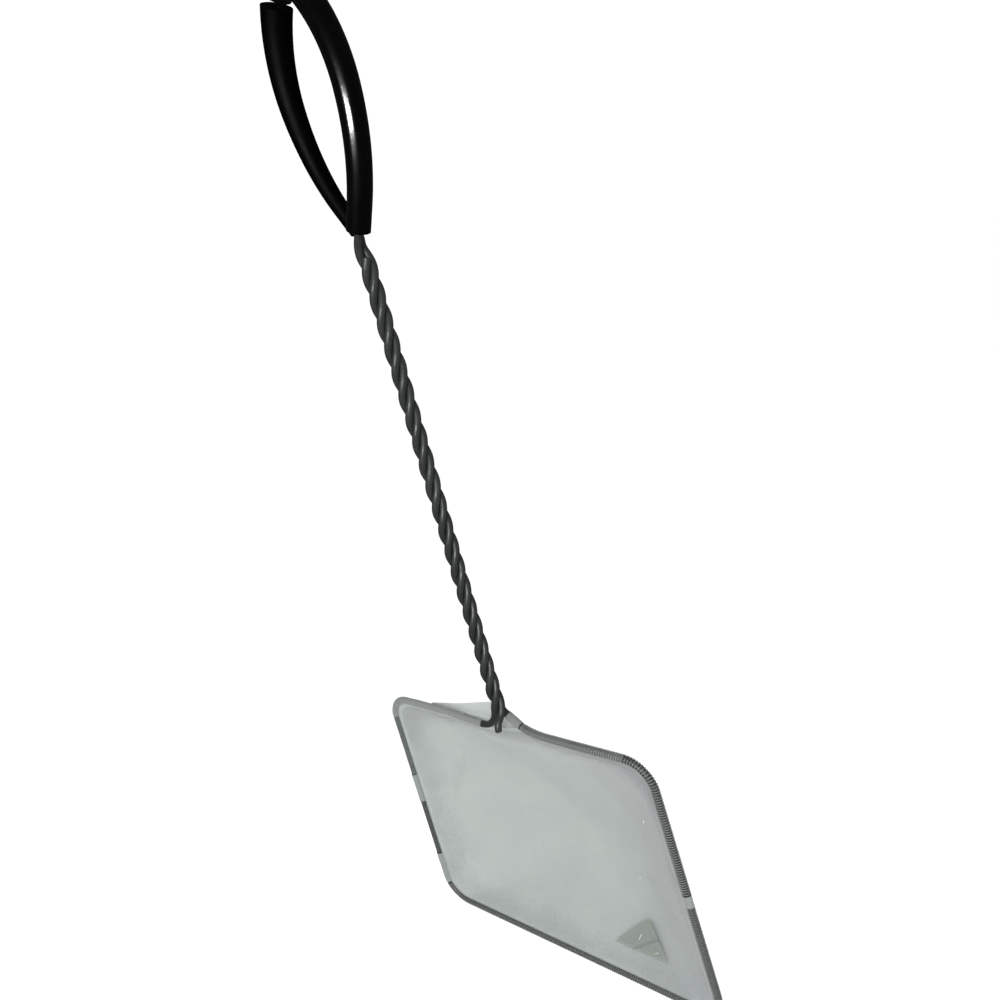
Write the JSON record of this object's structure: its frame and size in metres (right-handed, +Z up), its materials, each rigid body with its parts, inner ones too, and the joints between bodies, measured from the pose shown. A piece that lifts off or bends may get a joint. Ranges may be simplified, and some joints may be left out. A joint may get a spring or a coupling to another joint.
{
  "type": "aquarium hand net",
  "caption": "Small aquarium hand net: rectangular coated-wire hoop with a shallow fine-mesh pouch, twisted wire handle and a sleeved teardrop hang loop.",
  "frame": {"origin": "hang point, on the inside of the hang loop's top", "axes": "+Z up the handle, +X to the right of someone who looks into the mouth, +Y from the mouth towards the pouch's floor"},
  "size_m": [0.1346, 0.0306, 0.35],
  "materials": {
    "steel_core": "satin",
    "wire_coat": "satin",
    "grip_tube": "gloss",
    "mesh": "matte",
    "hem": "matte"
  },
  "bodies": {
    "root": {"frame_wire_core": "steel_core", "hoop_coat": "wire_coat", "left_strand_coat": "wire_coat", "right_strand_coat": "wire_coat", "left_arm_coat": "wire_coat", "right_arm_coat": "wire_coat", "filler_core": "steel_core", "filler_coat": "wire_coat", "left_grip_sleeve": "grip_tube", "right_grip_sleeve": "grip_tube", "net_pouch": "mesh", "upper_left_hem": "hem", "upper_right_hem": "hem", "lower_hem": "hem", "hem_facing": "hem", "left_side_seam": "hem", "right_side_seam": "hem", "hem_flap": "mesh", "corner_flap": "mesh"}
  },
  "joints": []
}
